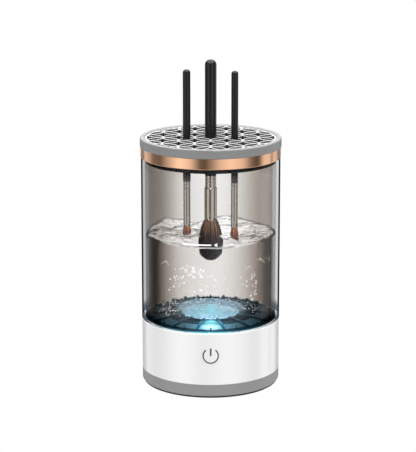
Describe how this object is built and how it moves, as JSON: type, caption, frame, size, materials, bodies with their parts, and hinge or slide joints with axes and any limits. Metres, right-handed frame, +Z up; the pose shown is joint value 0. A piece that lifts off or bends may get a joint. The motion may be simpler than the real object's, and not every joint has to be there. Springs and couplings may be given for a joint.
{
  "type": "brush cleaner",
  "caption": "Round countertop makeup brush washer: motor base, clear lift-off cup with a spinning ribbed bowl, and a lid with a lattice grille that holds brushes upright.",
  "frame": {"origin": "on the floor, under the centre of the round body (bottom centre of the foot)", "axes": "+Z up along the body's own axis, -Y to the front with the button, +X to the right seen from the front"},
  "size_m": [0.0852, 0.0852, 0.1976],
  "materials": {
    "white_gloss": "glossy white moulded plastic",
    "gray_cover": "satin gray moulded plastic",
    "gray_lid": "satin mid-gray moulded plastic",
    "grille_silicone": "soft gray silicone",
    "black_rubber": "matt black silicone",
    "clear_cup": "clear, faintly smoked, polished",
    "rose_gold": "turned and anodised rose gold",
    "mark_white": "white print",
    "icon_gray": "dark gray inlay",
    "bowl_navy": "dark blue, wet gloss",
    "disc_frost": "frosted, lit from below",
    "lamp_window": "clear light window",
    "lamp": "blue light-emitting diode",
    "steel": "bright steel",
    "bush_brass": "plain brass",
    "coupler_nylon": "natural nylon",
    "motor_steel": "zinc plated steel",
    "motor_black": "black plastic",
    "magnet_ferrite": "dark ferrite",
    "copper_winding": "lacquered copper windings on a steel core",
    "board_green": "green circuit board",
    "chip_black": "black components",
    "battery_wrap": "foil pouch",
    "handle_black": "black lacquer",
    "ferrule_metal": "champagne aluminium tube",
    "dark_hair": "dark brown hair",
    "red_hair": "reddish brown hair"
  },
  "bodies": {
    "base": {"base_shell": "white_gloss", "bottom_cover": "gray_cover", "foot_ring": "black_rubber", "cover_screws": "steel", "motor_can": "motor_steel", "motor_end_cap": "motor_black", "motor_magnet": "magnet_ferrite", "motor_terminals": "bush_brass", "motor_screws": "steel", "main_board": "board_green", "board_components": "chip_black", "board_screws": "steel", "usb_socket": "steel", "battery_pack": "battery_wrap", "led_board": "board_green", "led_emitters": "lamp", "light_windows": "lamp_window", "switch_board": "board_green", "tact_switch": "motor_black"},
    "drive": {"motor_rotor": "copper_winding", "motor_shaft": "steel", "drive_coupler": "coupler_nylon"},
    "button": {"button_cap": "white_gloss", "power_icon": "icon_gray", "switch_plunger": "motor_black"},
    "cup": {"cup_body": "clear_cup", "rose_gold_ring": "rose_gold", "spindle_bush": "bush_brass", "shaft_seal": "black_rubber", "level_line": "mark_white"},
    "spinner": {"spindle": "steel", "spinner_coupler": "coupler_nylon", "spinner_bowl": "bowl_navy", "spinner_disc": "disc_frost"},
    "lid": {"lid_rim": "gray_lid", "lid_seal": "black_rubber", "brush_grille": "grille_silicone"},
    "center_brush": {"center_handle": "handle_black", "center_ferrule": "ferrule_metal", "center_bristles": "dark_hair"},
    "left_brush": {"left_handle": "handle_black", "left_ferrule": "ferrule_metal", "left_bristles": "red_hair"},
    "right_brush": {"right_handle": "handle_black", "right_ferrule": "ferrule_metal", "right_bristles": "red_hair"}
  },
  "joints": [
    {"name": "drive_spin", "type": "hinge", "parent": "base", "child": "drive", "pos_m": [0, 0, 0.024], "axis": [0, 0, 1], "continuous": true},
    {"name": "button_press", "type": "slide", "parent": "base", "child": "button", "axis": [0, 1, 0], "range_m": [0, 0.0004], "stiffness_N_per_m": 1500, "springref_m": -0.0003},
    {"name": "cup_lift", "type": "slide", "parent": "base", "child": "cup", "axis": [0, 0, 1], "range_m": [0, 0.06]},
    {"name": "spinner_spin", "type": "hinge", "parent": "cup", "child": "spinner", "pos_m": [0, 0, 0.036], "axis": [0, 0, 1], "continuous": true},
    {"name": "lid_lift", "type": "slide", "parent": "cup", "child": "lid", "axis": [0, 0, 1], "range_m": [0, 0.09]},
    {"name": "center_brush_slide", "type": "slide", "parent": "lid", "child": "center_brush", "axis": [0, 0, 1], "range_m": [-0.025, 0.025]},
    {"name": "left_brush_slide", "type": "slide", "parent": "lid", "child": "left_brush", "axis": [0, 0, 1], "range_m": [-0.038, 0.045]},
    {"name": "right_brush_slide", "type": "slide", "parent": "lid", "child": "right_brush", "axis": [0, 0, 1], "range_m": [-0.038, 0.045]}
  ],
  "couplings": [
    {"joint": "spinner_spin", "follows": "drive_spin", "ratio": 1}
  ]
}
